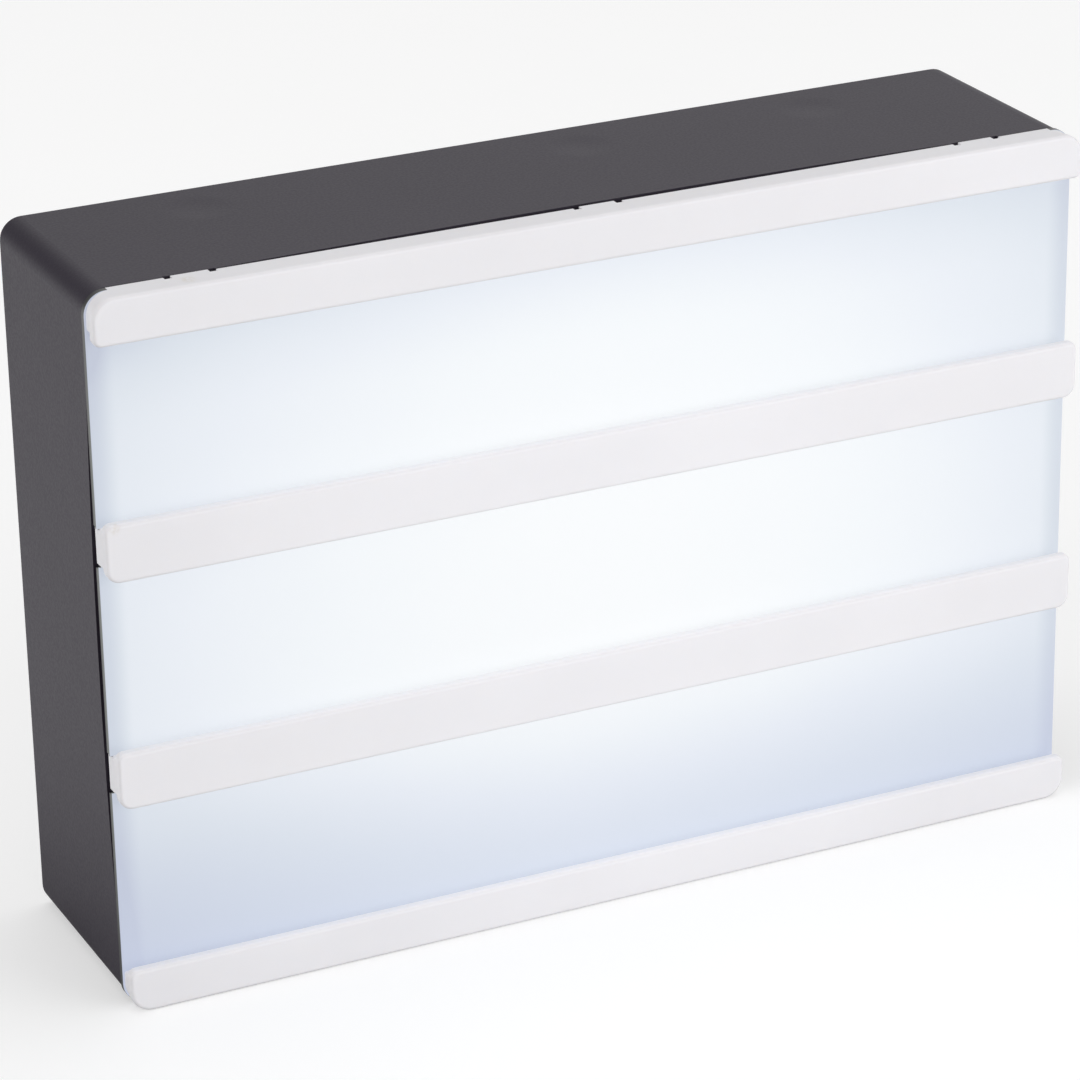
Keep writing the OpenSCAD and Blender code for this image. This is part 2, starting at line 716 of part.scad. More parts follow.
// Conical spring of the contacts, from its wide end at x = 0 to its tip
spring_wire_r = 0.3;
spring_turns = 3.5;
spring_wide_r = 5;
spring_tip_r = 2.4;
spring_steps = 28;
function spring_route() = [for (i = [0:spring_steps])
    let (t = i / spring_steps, r = spring_wide_r + (spring_tip_r - spring_wide_r) * t,
        a = 360 * spring_turns * t, run = spring_l - 2 * spring_wire_r - 0.04)
        [spring_wire_r + 0.02 + run * t, r * cos(a), r * sin(a)]];

// Least distance between the wire's surfaces on neighbouring turns
spring_gaps = [for (p = [spring_route()], i = [0:spring_steps], k = [i + 5:1:spring_steps])
    norm(p[i] - p[k]) - 2 * spring_wire_r];
echo("least gap of a spring to itself", min(spring_gaps));

module contact_spring(side, row) {
    translate([side * (bay_w / 2 - contact_t), cell_y, cell_z[row]])
        scale([-side, 1, 1]) tube(spring_route(), spring_wire_r, 6, [1, 0, 0]);
}

module contact_springs() {
    color(steel) {
        contact_spring(1, 0);
        contact_spring(-1, 1);
        contact_spring(1, 2);
    }
}

// ---------------------------------------------------------------- switch

plate_y = back_in_y - 1.2;   // back of the switch's plate, on its two posts
plate_t = 0.6;
can_d = 4.6;
pin_l = 3.5;
pin_x = [-3, 0, 3];

// Metal frame and can; the foot of the knob slides inside
module switch_body() {
    can_y = plate_y - plate_t - can_d;
    color("silver") difference() {
        union() {
            along_y(plate_y - plate_t, plate_y)
                outline(switch_x - 11.5, switch_x + 11.5, switch_z - 2.8, switch_z + 2.8, 0.6, 0.6);
            block([switch_x - 6, can_y, switch_z - 2.8],
                [switch_x + 6, plate_y - plate_t + overlap, switch_z + 2.8]);
        }
        block([switch_x - 5.5, can_y + 0.5, switch_z - 2.4],
            [switch_x + 5.5, plate_y - plate_t, switch_z + 2.4]);
        block([switch_x - switch_travel / 2 - 2.2, can_y + 2, switch_z - 2.1],
            [switch_x + switch_travel / 2 + 2.2, plate_y + 1, switch_z + 2.1]);
        for (x = [-9, 9]) rod_y(switch_x + x, switch_z, 1.1, plate_y - 2, plate_y + 1);
    }
}

module switch_terminals() {
    can_y = plate_y - plate_t - can_d;
    color(steel) for (x = pin_x)
        block([switch_x + x - 0.4, can_y - pin_l, switch_z - 0.9],
            [switch_x + x + 0.4, can_y, switch_z + 0.9]);
}

// Knob at the on end of its travel; it slides towards -X to switch off
module switch_knob() {
    x = switch_x + switch_travel / 2;
    color("#1f1f21") difference() {
        union() {
            block([x - 1.85, plate_y - plate_t - 1, switch_z - 1.75],
                [x + 1.85, back_y - 0.1, switch_z + 1.75]);
            block([x - 2.9, plate_y - plate_t - 1.4, switch_z - 2.05],
                [x + 2.9, plate_y - plate_t - 0.4, switch_z + 2.05]);
        }
        for (i = [-1:1])
            block([x + i * 1.1 - 0.25, back_y - 0.5, switch_z - 2], [x + i * 1.1 + 0.25, back_y, switch_z + 2]);
    }
}

// ---------------------------------------------------------------- wiring

tag_x = bay_w / 2 - contact_t / 2 + bay_wall + 3 + contact_t / 2;
pin_y = plate_y - plate_t - can_d - pin_l;
board_pad_y = board_face_y - board_t;

positive_route = [[-tag_x, cell_y, cell_z[0]], [-tag_x - 2, cell_y, cell_z[0]], [-38, 10, 49],
    [-37, 14, 57], [-32, 15.2, 61], [-16, 15.2, 62], [8, 15.2, 62], [30, 15.2, 61],
    [38, 13, 55], [44, 9, 45], [48, 5, 37], [switch_x - 3, 3.6, 32.5],
    [switch_x - 3, pin_y - 1.5, switch_z], [switch_x - 3, pin_y, switch_z]];

switch_route = [[switch_x, pin_y, switch_z], [switch_x, pin_y - 1.5, switch_z], [53, 3.6, 33],
    [56, 5, 43], [57.5, 11, 53], [57, 14.8, 61], [57, 15.2, 68], [57.4, 14.4, 71],
    [57.4, 12, 72], [57, 9.4, 72.2], [54.5, 8.6, 73.8], [pad_x, 9.2, board_z + pad_dz],
    [pad_x, board_pad_y, board_z + pad_dz]];

negative_route = [[tag_x, cell_y, cell_z[2]], [tag_x + 2, cell_y, cell_z[2]], [40, 6.5, 17], [50, 5, 19],
    [60, 6, 26], [64, 9, 40], [64, 13.5, 54], [62, 15.2, 62], [59.6, 15.2, 67],
    [58.6, 14.4, 69.4], [58.6, 12, 70], [58, 9.4, 69.8], [55, 8.6, 68.2],
    [pad_x, 9.2, board_z - pad_dz], [pad_x, board_pad_y, board_z - pad_dz]];

// Insulated wire: a smooth run between two straight ends
module wire(route) {
    last = len(route) - 1;
    run = smooth([for (i = [1:last - 1]) route[i]], 2);
    tube(concat([route[0]], run, [route[last]]), wire_r, 8, [0.3, 0.2, 1]);
}

module positive_wire() { color("red") wire(positive_route); }
module switch_wire() { color("white") wire(switch_route); }
module negative_wire() { color("#1a1a1a") wire(negative_route); }

// ---------------------------------------------------------------- screws

module board_screws() {
    color(steel) for (x = [-board_screw_x, board_screw_x])
        translate([x, 0, board_z]) screw(board_face_y - board_t, 5);
}

module tray_screws() {
    color(steel) {
        at_posts(low_post_z) screw(tray_low_y - tray_t, 7);
        at_posts(high_post_z) screw(tray_high_y - tray_t, 4.4);
    }
}

module switch_screws() {
    color(steel) for (x = [-9, 9])
        translate([switch_x + x, 0, switch_z]) screw(plate_y - plate_t, 2.2);
}

rear_housing();
front_panel();
top_rail();
middle_rail(upper_rail_z);  // upper_rail
middle_rail(lower_rail_z);  // lower_rail
bottom_rail();
reflector_tray();
led_board();
leds();
resistors();
battery_door();
cell(0, -1);  // battery_1
cell(1, 1);  // battery_2
cell(2, -1);  // battery_3
positive_contact();
negative_contact();
left_bridge();
right_bridge();
contact_springs();
switch_body();
switch_terminals();
switch_knob();
positive_wire();
switch_wire();
negative_wire();
board_screws();
tray_screws();
switch_screws();
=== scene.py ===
"""Looks of the cinema light box: materials, soft edges, smooth wires and springs, light and camera.

Places and sizes on the object are in millimetres, and turn into metres where a mesh or a node
setting takes them. The camera and the lamps are placed in metres.
"""
import math
from functools import reduce

import bmesh
import bpy
from mathutils import Matrix, Vector


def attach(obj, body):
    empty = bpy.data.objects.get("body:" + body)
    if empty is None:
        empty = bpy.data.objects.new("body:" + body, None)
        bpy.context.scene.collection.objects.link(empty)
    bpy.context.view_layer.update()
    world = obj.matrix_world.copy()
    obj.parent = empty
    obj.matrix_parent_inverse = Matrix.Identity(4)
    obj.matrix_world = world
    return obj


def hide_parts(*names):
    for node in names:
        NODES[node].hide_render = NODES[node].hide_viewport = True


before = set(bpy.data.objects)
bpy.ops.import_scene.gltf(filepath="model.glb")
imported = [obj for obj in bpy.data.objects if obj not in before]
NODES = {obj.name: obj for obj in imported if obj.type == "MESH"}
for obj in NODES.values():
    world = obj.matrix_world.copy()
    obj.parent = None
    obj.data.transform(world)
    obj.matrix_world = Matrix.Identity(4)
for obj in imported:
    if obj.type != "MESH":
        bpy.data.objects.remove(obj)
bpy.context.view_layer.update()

MM = 0.001


# ---------------------------------------------------------------- places taken from the frame

def extent(name, axis):
    """Lowest and highest place of a node along the axis x, y or z, in mm."""
    places = [vertex.co["xyz".index(axis)] / MM for vertex in NODES[name].data.vertices]
    return min(places), max(places)


def middle(name, axis):
    return sum(extent(name, axis)) / 2


SIDE_X = extent("front_panel", "x")[1]
TOP_Z = extent("rear_housing", "z")[1]
PANEL_FRONT_Y = extent("front_panel", "y")[0]
BOARD_FRONT_Y = extent("led_board", "y")[0]
LED_Z = middle("led_board", "z")

CELLS = ("battery_1", "battery_2", "battery_3")
CELL_Y = middle(CELLS[0], "y")
CELL_Z = [middle(cell, "z") for cell in CELLS]
CELL_FLAT_X = extent(CELLS[0], "x")[1]      # flat end of the upper cell
CELL_TIP_X = extent(CELLS[1], "x")[1]       # tip of the middle cell's button
PLATE_X, TAG_X = extent("negative_contact", "x")    # inner face of a contact, end of its tag

SWITCH_X = middle("switch_terminals", "x")
SWITCH_Z = middle("switch_terminals", "z")
PIN_PITCH = 3.0
PIN_Y = extent("switch_terminals", "y")[0] + 0.5    # where a wire is soldered to a pin
PAD_X = 52.5                                        # pads of the wires on the light board
PAD_Z = (LED_Z + 3.5, LED_Z - 3.5)


# ---------------------------------------------------------------- material helpers

def put(tree, socket, value):
    """Links a node's socket to another socket, or sets it to a plain value."""
    if isinstance(value, bpy.types.NodeSocket):
        tree.links.new(value, socket)
    elif value is not None:
        socket.default_value = value


def add_node(tree, kind, *inputs, **settings):
    """Adds a node with these settings, and fills its first inputs."""
    made = tree.nodes.new(kind)
    for key, value in settings.items():
        setattr(made, key, value)
    for socket, value in zip(made.inputs, inputs):
        put(tree, socket, value)
    return made


def darker(colour, share):
    return tuple(value * share for value in colour)


class Paint:
    """A material being made: one shader, and short calls that add nodes and link them to it."""

    def __init__(self, name, **sockets):
        self.material = bpy.data.materials.new(name)
        self.material.use_nodes = True
        self.tree = self.material.node_tree
        self.shader = self.tree.nodes["Principled BSDF"]
        for socket, value in sockets.items():
            self.set(socket.replace("_", " "), value)
        where = self.node("ShaderNodeTexCoord").outputs["Object"]
        self.place = self.vector("SCALE", where, scale=1 / MM)
        self.x, self.y, self.z = self.node("ShaderNodeSeparateXYZ", self.place).outputs
        self.normal = None

    def node(self, kind, *inputs, **settings):
        return add_node(self.tree, kind, *inputs, **settings)

    def put(self, socket, value):
        put(self.tree, socket, value)

    def set(self, socket, value):
        self.put(self.shader.inputs[socket], value)

    def math(self, operation, a, b=None, clamp=False):
        return self.node("ShaderNodeMath", a, b, operation=operation, use_clamp=clamp).outputs[0]

    def total(self, *parts, clamp=False):
        """Sum of values, which may be kept within 0 and 1."""
        first = reduce(lambda a, b: self.math("ADD", a, b), parts[:-1])
        return self.math("ADD", first, parts[-1], clamp=clamp)

    def product(self, *parts):
        return reduce(lambda a, b: self.math("MULTIPLY", a, b), parts)

    def highest(self, *parts):
        return reduce(lambda a, b: self.math("MAXIMUM", a, b), parts)

    def size(self, value):
        """Value without its sign."""
        return self.math("ABSOLUTE", value)

    def vector(self, operation, a, b=None, scale=None):
        made = self.node("ShaderNodeVectorMath", a, b, operation=operation)
        if scale is not None:
            made.inputs["Scale"].default_value = scale
        return made.outputs["Value" if operation in ("DISTANCE", "LENGTH") else "Vector"]

    def facing(self):
        """How far the surface faces along x, y and z, each from -1 to 1."""
        normal = self.node("ShaderNodeNewGeometry").outputs["Normal"]
        return self.node("ShaderNodeSeparateXYZ", normal).outputs

    def span(self, value, low, high, to_low=0.0, to_high=1.0):
        """Maps low..high to to_low..to_high with soft ends, and stays level beyond them."""
        return self.node("ShaderNodeMapRange", value, low, high, to_low, to_high,
                         interpolation_type="SMOOTHSTEP").outputs[0]

    def noise(self, size, detail=2.0, stretch=None):
        """Noise with features about size mm across."""
        where = self.vector("MULTIPLY", self.place, stretch) if stretch else self.place
        made = self.node("ShaderNodeTexNoise")
        for socket, value in (("Vector", where), ("Scale", 1 / size), ("Detail", detail)):
            self.put(made.inputs[socket], value)
        return made.outputs["Fac"]

    def mix(self, share, a, b):
        """Colour a where the share is 0, and b where it is 1."""
        made = self.node("ShaderNodeMix", data_type="RGBA")
        for socket, value in ((made.inputs[0], share), (made.inputs[6], a), (made.inputs[7], b)):
            self.put(socket, value)
        return made.outputs[2]

    def cloudy(self, size, detail, colour, shade):
        """Colour with soft patches about size mm across that are darker by the shade."""
        return self.mix(self.noise(size, detail), (*darker(colour, shade), 1), (*colour, 1))

    def ramp(self, value, stops):
        made = self.node("ShaderNodeValToRGB", value)
        elements = made.color_ramp.elements
        while len(elements) < len(stops):
            elements.new(0.5)
        for element, (position, colour) in zip(elements, stops):
            element.position = position
            element.color = (*colour, 1)
        return made.outputs["Color"]

    def bump(self, height, depth, strength=1.0):
        """Lays a relief of the given depth in mm on what is there already."""
        made = self.node("ShaderNodeBump")
        for socket, value in (("Strength", strength), ("Distance", depth * MM), ("Height", height),
                              ("Normal", self.normal)):
            self.put(made.inputs[socket], value)
        self.normal = made.outputs[0]
        self.set("Normal", self.normal)

    def spot(self, centre, inner, outer):
        """1 within inner mm of a point, 0 beyond outer mm."""
        return self.span(self.vector("DISTANCE", self.place, centre), inner, outer, 1.0, 0.0)


# ---------------------------------------------------------------- materials

# Middles of the faint sink marks on the housing's top
SINK_X = (-49, 9.5, 47)
SINK_Y = 10

# Scuffs of the rails: middle and reach
SCUFFS = (((-61.1, -16.8, TOP_Z), 1.7), ((-74.0, -18.9, 73.1), 1.3))
SCUFF_COLOUR = (0.70, 0.655, 0.59, 1)


def black_abs():
    """Spark-textured black plastic, with faint sink marks over the ribs under its top."""
    p = Paint("black_abs", Specular_IOR_Level=0.42, Specular_Tint=(0.98, 0.95, 1.0, 1))
    grain = p.noise(0.38, detail=3)
    cloud = p.noise(34, detail=3)
    tone = p.total(p.product(grain, 0.5), p.product(cloud, 0.5))
    p.set("Base Color", p.ramp(tone, [(0.3, (0.018, 0.0135, 0.0235)), (0.7, (0.0245, 0.019, 0.031))]))
    p.set("Roughness", p.span(grain, 0.3, 0.7, 0.48, 0.55))
    sinks = p.total(*(p.spot((x, SINK_Y, TOP_Z), 0.5, 5.5) for x in SINK_X))
    p.bump(p.math("SUBTRACT", 1.0, sinks), 0.13)
    p.bump(grain, 0.035, 0.5)
    return p.material


def rail_white():
    """White moulded plastic, a little milky: some of the panel's light comes through its middle.

    That light is a painted glow, emission in the middle of the rail, and painted glow also lights
    the tops of the lips before the panel. Rounded edges carry painted shade, greyer than flats, and
    there are two small scuffs.
    """
    p = Paint("rail_white", Specular_IOR_Level=0.3, Subsurface_Weight=0.12,
              Subsurface_Radius=(1.0, 0.9, 0.8), Subsurface_Scale=1.2 * MM,
              Emission_Color=(0.95, 0.96, 1, 1))
    facing = p.facing()
    # Painted glow: emission stands in for the panel's light coming through the middle of the rails and
    # falling on the tops of their lips
    through = p.span(p.size(p.x), 78.0, 10.0, 0.0, 0.05)
    painted_top_glow = p.span(facing[2], 0.3, 0.9, 0.0, 0.055)
    below_top = p.span(p.z, 98.0, 80.0)
    p.set("Emission Strength", p.product(p.total(through, painted_top_glow), below_top))
    cloud = p.noise(26, detail=3)
    fine = p.noise(0.5)
    colour = p.ramp(cloud, [(0.3, (0.825, 0.815, 0.84)), (0.7, (0.855, 0.845, 0.87))])
    for centre, reach in SCUFFS:
        scuff = p.product(p.spot(centre, 0.1, reach), p.span(fine, 0.35, 0.6, 0.1, 0.55))
        colour = p.mix(scuff, colour, SCUFF_COLOUR)
    # Painted shade: rounded edges, which face between the axes, are greyer than flats; this damps their
    # highlight and darkens their lower edges
    flat = p.highest(*(p.size(part) for part in facing))
    p.set("Base Color", p.mix(p.span(flat, 0.98, 0.78, 0.0, 0.5), colour, (0.72, 0.70, 0.72, 1)))
    p.set("Roughness", p.span(cloud, 0.3, 0.7, 0.52, 0.62))
    p.bump(p.noise(9, detail=1, stretch=(0.25, 1, 1)), 0.06, 0.5)
    p.bump(fine, 0.012, 0.4)
    return p.material


def glow_loss(p):
    """How far the panel's glow has fallen, 0 to 1: brightest a little above the middle."""
    near_side = 70.0
    across = p.size(p.x)
    to_sides = p.product(across, across, 0.30 / near_side ** 2)
    rim_loss = p.span(p.x, -near_side, near_side, 0.38, 0.28)
    at_rim = p.product(p.span(across, SIDE_X - 4.0, SIDE_X - 0.4), rim_loss)
    to_foot = p.span(p.z, 38.0, -4.0, 0.0, 0.5)
    to_head = p.total(p.span(p.z, 62.0, 92.0, 0.0, 0.08), p.span(p.z, 84.0, 107.0, 0.0, 0.3))
    low_left = p.product(p.span(p.x, 0.0, -75.0, 0.0, 0.15), p.span(p.z, 45.0, 15.0))
    high_left = p.product(p.span(p.x, -60.0, -76.0, 0.0, 0.2), p.span(p.z, 91.0, 99.0))
    uneven = p.product(p.math("SUBTRACT", p.noise(22), 0.5), 0.05)
    return p.total(to_sides, at_rim, to_foot, to_head, low_left, high_left, uneven, clamp=True)


def opal_diffuser():
    """Opal panel lit from behind, bluer and dimmer outwards.

    Its edges and the skirt behind it get no glow and carry painted shade: dark, a little paler in the
    middle of the sides, and darker towards the back.
    """
    p = Paint("opal_diffuser", Roughness=0.34, Emission_Strength=1.0)
    loss = glow_loss(p)
    edge = p.span(p.facing()[1], -0.75, -0.25)
    # Painted shade on the edges and the skirt: dark, a little paler beside the rows in the middle of the
    # sides, and darkest towards the back, in the shadow gap
    beside_rows = p.product(p.span(p.z, 4.0, 30.0), p.span(p.z, TOP_Z - 4.3, TOP_Z - 25.3))
    painted_edge_shade = p.mix(beside_rows, (0.05, 0.053, 0.05, 1), (0.13, 0.14, 0.13, 1))
    near_front = p.span(p.y, PANEL_FRONT_Y + 1.0, PANEL_FRONT_Y + 0.1)
    painted_edge_shade = p.mix(near_front, (0.02, 0.02, 0.02, 1), painted_edge_shade)
    face_colour = p.ramp(loss, [(0.0, (0.19, 0.195, 0.20)), (1.0, (0.18, 0.19, 0.21))])
    p.set("Base Color", p.mix(edge, face_colour, painted_edge_shade))
    glow = p.ramp(loss, [
        (0.0, (0.73, 0.745, 0.755)),
        (0.1, (0.69, 0.715, 0.735)),
        (0.25, (0.615, 0.645, 0.69)),
        (0.45, (0.525, 0.565, 0.615)),
        (0.7, (0.44, 0.48, 0.545)),
        (1.0, (0.35, 0.38, 0.465))])
    glow = p.mix(p.span(p.z, 38.0, -4.0, 0.0, 0.4), glow, (0.45, 0.505, 0.675, 1))
    p.set("Emission Color", p.mix(edge, glow, (0, 0, 0, 1)))
    p.bump(p.noise(1.6), 0.01, 0.5)
    return p.material


def tray_white():
    """Matt moulded white."""
    p = Paint("tray_white", Roughness=0.5)
    p.set("Base Color", p.cloudy(18, 3, (0.84, 0.84, 0.83), 0.93))
    p.bump(p.noise(0.6), 0.02, 0.5)
    return p.material


def board_white():
    """White solder mask over one copper track along the middle line of the diodes."""
    p = Paint("board_white", Roughness=0.35)
    up = p.size(p.math("SUBTRACT", p.z, LED_Z))
    tracks = p.product(p.span(up, 0.35, 0.5, 1.0, 0.0), p.span(p.size(p.x), 46.0, 47.0, 1.0, 0.0))
    mask = p.cloudy(18, 3, (0.80, 0.80, 0.76), 0.93)
    p.set("Base Color", p.mix(p.product(tracks, 0.35), mask, (0.62, 0.55, 0.36, 1)))
    p.bump(p.noise(0.6), 0.02, 0.5)
    p.bump(tracks, 0.035)
    return p.material


def led_phosphor():
    """White housing with a yellow disc of phosphor under clear resin."""
    pitch = 18.0
    disc_r = 2.0
    p = Paint("led_phosphor", Roughness=0.18, Coat_Weight=0.6, Coat_Roughness=0.05)
    along = p.math("SUBTRACT", p.math("FLOORED_MODULO", p.x, pitch), pitch / 2)
    up = p.math("SUBTRACT", p.z, LED_Z)
    away = p.math("SQRT", p.total(p.product(along, along), p.product(up, up)))
    disc = p.span(away, disc_r - 0.1, disc_r + 0.05, 1.0, 0.0)
    grain = p.noise(0.12)
    yellow = p.mix(grain, (0.86, 0.66, 0.16, 1), (0.93, 0.78, 0.30, 1))
    p.set("Base Color", p.mix(disc, (0.84, 0.84, 0.80, 1), yellow))
    p.bump(grain, 0.01, 0.4)
    return p.material


def resistor_black():
    """Ceramic chip with tinned ends."""
    pitch = 36.0
    body_x = 1.1
    p = Paint("resistor_black", Roughness=0.4)
    shifted = p.math("FLOORED_MODULO", p.total(p.x, pitch / 2), pitch)
    off = p.size(p.math("SUBTRACT", shifted, pitch / 2))
    ends = p.span(off, body_x - 0.05, body_x + 0.05)
    p.set("Base Color", p.mix(ends, (0.018, 0.018, 0.02, 1), (0.62, 0.61, 0.59, 1)))
    p.set("Metallic", ends)
    p.bump(p.noise(0.3), 0.02, 0.5)
    return p.material


def steel(name, colour, roughness, stretch):
    """Plated sheet or wire: fine drawing marks and a slightly uneven gloss."""
    p = Paint(name, Metallic=1.0)
    lines = p.noise(0.25, detail=3, stretch=stretch)
    p.set("Base Color", p.cloudy(4, 2, colour, 0.82))
    p.set("Roughness", p.span(lines, 0.3, 0.7, roughness - 0.06, roughness + 0.08))
    p.bump(lines, 0.008, 0.5)
    return p.material


def cell_sleeve(name, facing):
    """Cell in a printed film: plain blue body, a pale band at the button end, bare steel ends."""
    band_x = CELL_TIP_X - 14.0
    line_x = CELL_TIP_X - 15.05
    line_w = 0.6
    can_x = CELL_TIP_X - 1.1
    p = Paint(name, Coat_Weight=0.3, Coat_Roughness=0.1)
    along = p.product(p.x, float(facing))
    band = p.span(along, band_x - 0.1, band_x + 0.1)
    off_line = p.size(p.math("SUBTRACT", along, line_x))
    line = p.span(off_line, line_w / 2 - 0.05, line_w / 2 + 0.05, 1.0, 0.0)
    ends = p.span(p.size(p.facing()[0]), 0.6, 0.8)
    metal = p.highest(ends, p.span(along, can_x - 0.05, can_x))
    body = p.mix(p.noise(7), (0.018, 0.075, 0.17, 1), (0.028, 0.105, 0.225, 1))
    body = p.mix(line, body, (0.75, 0.75, 0.73, 1))
    body = p.mix(band, body, (0.52, 0.53, 0.53, 1))
    p.set("Base Color", p.mix(metal, body, (0.66, 0.65, 0.63, 1)))
    p.set("Metallic", p.highest(metal, p.product(band, 0.6)))
    p.set("Roughness", p.span(p.noise(0.8), 0.3, 0.7, 0.26, 0.36))
    p.bump(p.noise(1.2, detail=1, stretch=(0.3, 1, 1)), 0.02, 0.4)
    return p.material


def knob_black():
    p = Paint("knob_black", Roughness=0.38)
    grain = p.noise(0.3)
    p.set("Base Color", p.mix(grain, (0.010, 0.010, 0.011, 1), (0.020, 0.020, 0.021, 1)))
    p.bump(grain, 0.02, 0.5)
    return p.material


def insulation(name, colour):
    """Soft glossy wire covering."""
    p = Paint(name, Roughness=0.36, Coat_Weight=0.2, Coat_Roughness=0.2)
    p.set("Base Color", p.cloudy(3, 2, colour, 0.8))
    p.bump(p.noise(0.7), 0.03, 0.4)
    return p.material


MATERIALS = {
    "black_abs": black_abs(),
    "opal_diffuser": opal_diffuser(),
    "rail_white": rail_white(),
    "tray_white": tray_white(),
    "board_white": board_white(),
    "led_phosphor": led_phosphor(),
    "resistor_black": resistor_black(),
    "cell_left": cell_sleeve("cell_left", -1),
    "cell_right": cell_sleeve("cell_right", 1),
    "contact_steel": steel("contact_steel", (0.66, 0.65, 0.62), 0.28, (0.2, 1, 1)),
    "switch_metal": steel("switch_metal", (0.62, 0.62, 0.60), 0.34, (1, 1, 0.2)),
    "screw_steel": steel("screw_steel", (0.60, 0.60, 0.58), 0.30, (1, 1, 1)),
    "knob_black": knob_black(),
    "wire_red": insulation("wire_red", (0.56, 0.018, 0.018)),
    "wire_white": insulation("wire_white", (0.72, 0.72, 0.70)),
    "wire_black": insulation("wire_black", (0.018, 0.018, 0.018)),
}


# ---------------------------------------------------------------- solids kept from the frame

WELD_REACH = 0.001      # mm
FLAT_WITHIN = 0.4       # degrees between faces that are joined to one flat
EDGE_ABOVE = 35         # degrees between faces at an edge that is rounded


def dress(name, material, soft_edge=0.0):
    """Gives a node its material, and rounds its sharp edges by soft_edge mm."""
    node = NODES[name]
    for slot in node.material_slots:
        slot.material = MATERIALS[material]
    if soft_edge:
        weld = node.modifiers.new("weld", "WELD")
        weld.merge_threshold = WELD_REACH * MM
        flat = node.modifiers.new("flat", "DECIMATE")
        flat.decimate_type = "DISSOLVE"
        flat.angle_limit = math.radians(FLAT_WITHIN)
        soft = node.modifiers.new("soft", "BEVEL")
        soft.width = soft_edge * MM
        soft.segments = 2
        soft.limit_method = "ANGLE"
        soft.angle_limit = math.radians(EDGE_ABOVE)
        soft.use_clamp_overlap = False
        soft.harden_normals = True


dress("rear_housing", "black_abs")
dress("battery_door", "black_abs", 0.15)
dress("front_panel", "opal_diffuser")
for rail in ("top_rail", "upper_rail", "lower_rail", "bottom_rail"):
    dress(rail, "rail_white")
dress("reflector_tray", "tray_white", 0.12)
dress("led_board", "board_white")
dress("leds", "led_phosphor")
dress("resistors", "resistor_black")
for cell, sleeve in zip(CELLS, ("cell_left", "cell_right", "cell_left")):
    dress(cell, sleeve, 0.3)
for contact in ("positive_contact", "negative_contact", "left_bridge", "right_bridge", "switch_terminals"):
    dress(contact, "contact_steel")
dress("switch_body", "switch_metal")
dress("switch_knob", "knob_black", 0.12)
for screws in ("board_screws", "tray_screws", "switch_screws"):
    dress(screws, "screw_steel")


# ---------------------------------------------------------------- swept pieces

LEAD_R = 0.7
ROUND_END = 0.55        # radius of a round end's last ring, as a share of the wire's radius
SHARP_ABOVE = 40        # degrees between faces at an edge that is shaded sharp


def heading(route, i):
    return (route[min(i + 1, len(route) - 1)] - route[max(i - 1, 0)]).normalized()


def smooth(route, steps):
    """Points of a smooth curve through a route."""
    last = len(route) - 1
    points = []
    for i in range(last):
        a, b, c, d = (route[min(max(i + k, 0), last)] for k in (-1, 0, 1, 2))
        for k in range(steps):
            t = k / steps
            points.append(0.5 * (2 * b + (c - a) * t + (2 * a - 5 * b + 4 * c - d) * t * t
                                 + (3 * b - a - 3 * c + d) * t ** 3))
    return points + [route[last]]


def tube(bm, route, radius, sides, round_ends=False):
    """Adds a closed round tube along a route in mm; round ends taper over the last points."""
    side = Vector((0.3, 0.2, 1))
    rings = []
    for i, point in enumerate(route):
        ahead = heading(route, i)
        side = (side - side.dot(ahead) * ahead).normalized()
        across = ahead.cross(side)
        r = radius * (ROUND_END if round_ends and i in (0, len(route) - 1) else 1)
        rings.append([bm.verts.new((point + r * (math.cos(a) * side + math.sin(a) * across)) * MM)
                      for a in (2 * math.pi * k / sides for k in range(sides))])
    for one, two in zip(rings, rings[1:]):
        for k in range(sides):
            bm.faces.new((one[k], one[(k + 1) % sides], two[(k + 1) % sides], two[k]))
    bm.faces.new(reversed(rings[0]))
    bm.faces.new(rings[-1])


def piece(name, bm, material, node):
    """Makes an object of a bmesh, which stays with the housing in place of a node."""
    bmesh.ops.recalc_face_normals(bm, faces=bm.faces)
    mesh = bpy.data.meshes.new(name)
    bm.to_mesh(mesh)
    bm.free()
    mesh.materials.append(MATERIALS[material])
    made = bpy.data.objects.new(name, mesh)
    bpy.context.scene.collection.objects.link(made)
    mesh.shade_smooth()
    mesh.set_sharp_from_angle(angle=math.radians(SHARP_ABOVE))
    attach(made, "root")
    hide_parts(node)


SPRING_TURNS = 3.5
SPRING_WIDE_R = 5.0
SPRING_TIP_R = 2.4
SPRING_WIRE_R = 0.3
SPRING_STEPS = 126
SPRING_CLEAR = 0.02     # between the wire and what it would touch


def conical_spring(bm, side, row):
    """Spring between a contact, where it is wide, and the flat end of a cell."""
    reach = PLATE_X - CELL_FLAT_X - 2 * (SPRING_WIRE_R + SPRING_CLEAR)
    base = Vector((side * PLATE_X, CELL_Y, CELL_Z[row]))
    route = []
    for i in range(SPRING_STEPS + 1):
        t = i / SPRING_STEPS
        r = SPRING_WIDE_R + (SPRING_TIP_R - SPRING_WIDE_R) * t
        a = 2 * math.pi * SPRING_TURNS * t
        run = SPRING_WIRE_R + SPRING_CLEAR + reach * t
        route.append(base + Vector((-side * run, r * math.cos(a), r * math.sin(a))))
    tube(bm, route, SPRING_WIRE_R, sides=12, round_ends=True)


def springs():
    coils = bmesh.new()
    for row, side in enumerate((1, -1, 1)):
        conical_spring(coils, side, row)
    piece("contact_spring_coils", coils, "contact_steel", "contact_springs")


def lead(name, node, material, route):
    """Insulated wire: a smooth run between two straight ends."""
    route = [Vector(place) for place in route]
    bm = bmesh.new()
    run = smooth(route[1:-1], steps=8)
    tube(bm, [route[0]] + run + [route[-1]], LEAD_R, sides=20)
    piece(name, bm, material, node)


